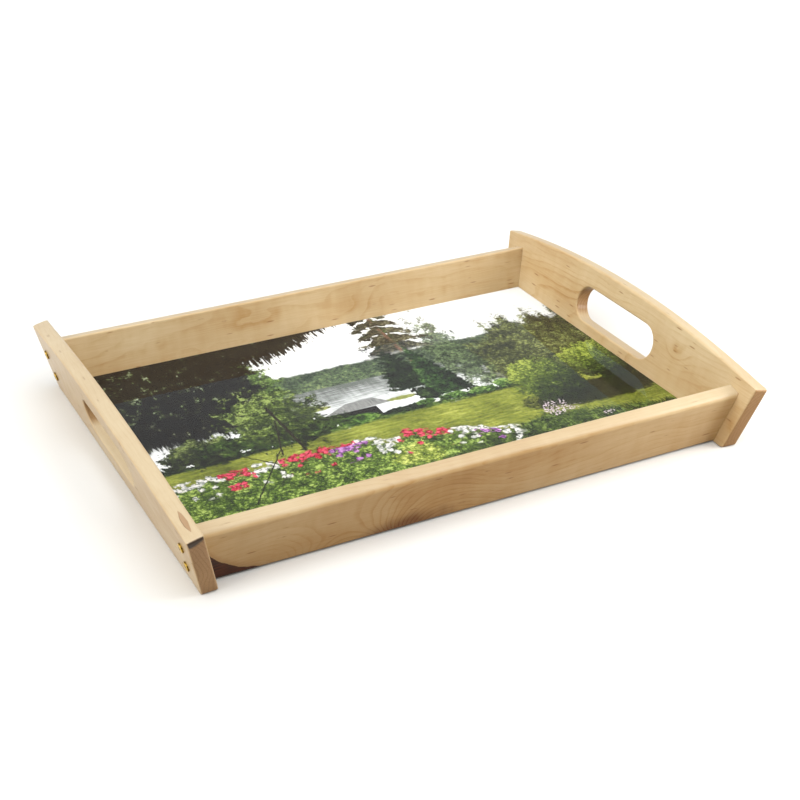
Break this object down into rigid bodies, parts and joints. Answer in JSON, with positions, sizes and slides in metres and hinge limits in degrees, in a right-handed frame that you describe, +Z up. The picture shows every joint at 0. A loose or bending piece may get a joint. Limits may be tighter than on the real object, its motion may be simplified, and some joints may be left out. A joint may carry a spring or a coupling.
{
  "type": "serving tray",
  "caption": "Rectangular wooden serving tray with outward leaning sides, arched end boards with hand slots, brass screws and a glossy picture panel.",
  "frame": {"origin": "centre of the tray's footprint, on the surface that it stands on", "axes": "+X along the tray's length towards the right end board, +Y across it towards the back rail, +Z up"},
  "size_m": [0.5038, 0.383, 0.0737],
  "materials": {
    "board_wood": "satin",
    "rail_wood": "satin",
    "panel_core": "matte",
    "print": "matte",
    "film": "gloss",
    "screw_brass": "polished"
  },
  "bodies": {
    "root": {"left_end_board": "board_wood", "right_end_board": "board_wood", "front_rail": "rail_wood", "back_rail": "rail_wood", "base_panel": "panel_core", "picture_print": "print", "clear_film": "film", "left_front_screws": "screw_brass", "left_back_screws": "screw_brass", "right_front_screws": "screw_brass", "right_back_screws": "screw_brass"}
  },
  "joints": []
}
